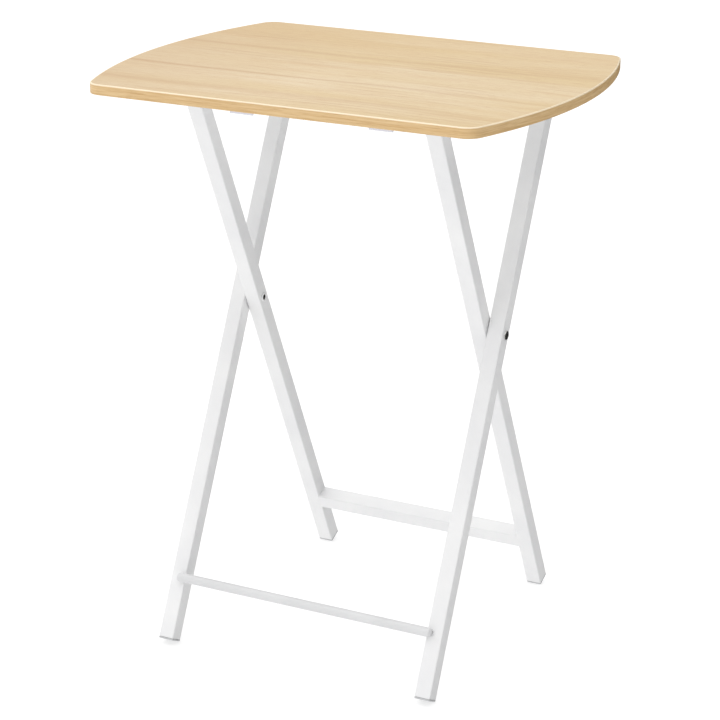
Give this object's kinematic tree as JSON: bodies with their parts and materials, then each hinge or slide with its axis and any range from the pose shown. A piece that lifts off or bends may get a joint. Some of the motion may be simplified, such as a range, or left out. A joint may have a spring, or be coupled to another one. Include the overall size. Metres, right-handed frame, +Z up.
{
  "type": "folding tray table",
  "caption": "Folding tray table: a bow-ended wood-grain top hinged to crossed white square-tube frames, with open clips underneath, a foot stretcher and a round lower bar.",
  "frame": {"origin": "on the floor under the middle of the top", "axes": "+X along the top's long side, +Y towards the back, where the top is hinged to the outer frame, and +Z up"},
  "size_m": [0.5346, 0.408, 0.67],
  "materials": {
    "white_powder_coat": "satin white powder coat",
    "grey_plastic": "matt pale grey moulded plastic",
    "white_plastic": "satin off-white moulded plastic",
    "plated_steel": "bright zinc or nickel plate",
    "fibreboard": "raw medium-density fibreboard",
    "wood_laminate": "satin pale maple wood-grain laminate, grain along X",
    "white_backing": "matt white melamine backing sheet",
    "wood_edge_band": "satin wood-grain edge band, a little deeper in colour than the face"
  },
  "bodies": {
    "outer_frame": {"outer_leg_left": "white_powder_coat", "outer_leg_right": "white_powder_coat", "lower_round_bar": "white_powder_coat", "outer_foot_cap_left": "grey_plastic", "outer_foot_cap_right": "grey_plastic", "outer_top_plug_left": "white_plastic", "outer_top_plug_right": "white_plastic", "pivot_rivet_left": "plated_steel", "pivot_rivet_right": "plated_steel", "pivot_washer_left": "grey_plastic", "pivot_washer_right": "grey_plastic", "hinge_rivet_left": "plated_steel", "hinge_rivet_right": "plated_steel", "hinge_washer_left": "grey_plastic", "hinge_washer_right": "grey_plastic"},
    "inner_frame": {"inner_leg_left": "white_powder_coat", "inner_leg_right": "white_powder_coat", "inner_top_rail": "white_powder_coat", "foot_stretcher": "white_powder_coat", "inner_foot_cap_left": "grey_plastic", "inner_foot_cap_right": "grey_plastic", "inner_top_plug_left": "white_plastic", "inner_top_plug_right": "white_plastic"},
    "table_top": {"core_panel": "fibreboard", "top_laminate": "wood_laminate", "underside_backing": "white_backing", "edge_band": "wood_edge_band", "snap_clip_left": "white_plastic", "snap_clip_right": "white_plastic", "hinge_bracket_left": "white_powder_coat", "hinge_bracket_right": "white_powder_coat", "clip_screw_left_outer": "plated_steel", "clip_screw_left_inner": "plated_steel", "clip_screw_right_outer": "plated_steel", "clip_screw_right_inner": "plated_steel", "bracket_screw_left_front": "plated_steel", "bracket_screw_left_back": "plated_steel", "bracket_screw_right_front": "plated_steel", "bracket_screw_right_back": "plated_steel"}
  },
  "joints": [
    {"name": "top_tilt", "type": "hinge", "parent": "outer_frame", "child": "table_top", "pos_m": [0, 0.14155, 0.644], "axis": [-1, 0, 0], "range_deg": [0, 115.7]},
    {"name": "leg_fold", "type": "hinge", "parent": "outer_frame", "child": "inner_frame", "pos_m": [0, 0.0145, 0.38], "axis": [-1, 0, 0], "range_deg": [0, 51.4]}
  ],
  "couplings": [
    {"joint": "leg_fold", "follows": "top_tilt", "ratio": 0.44425}
  ]
}
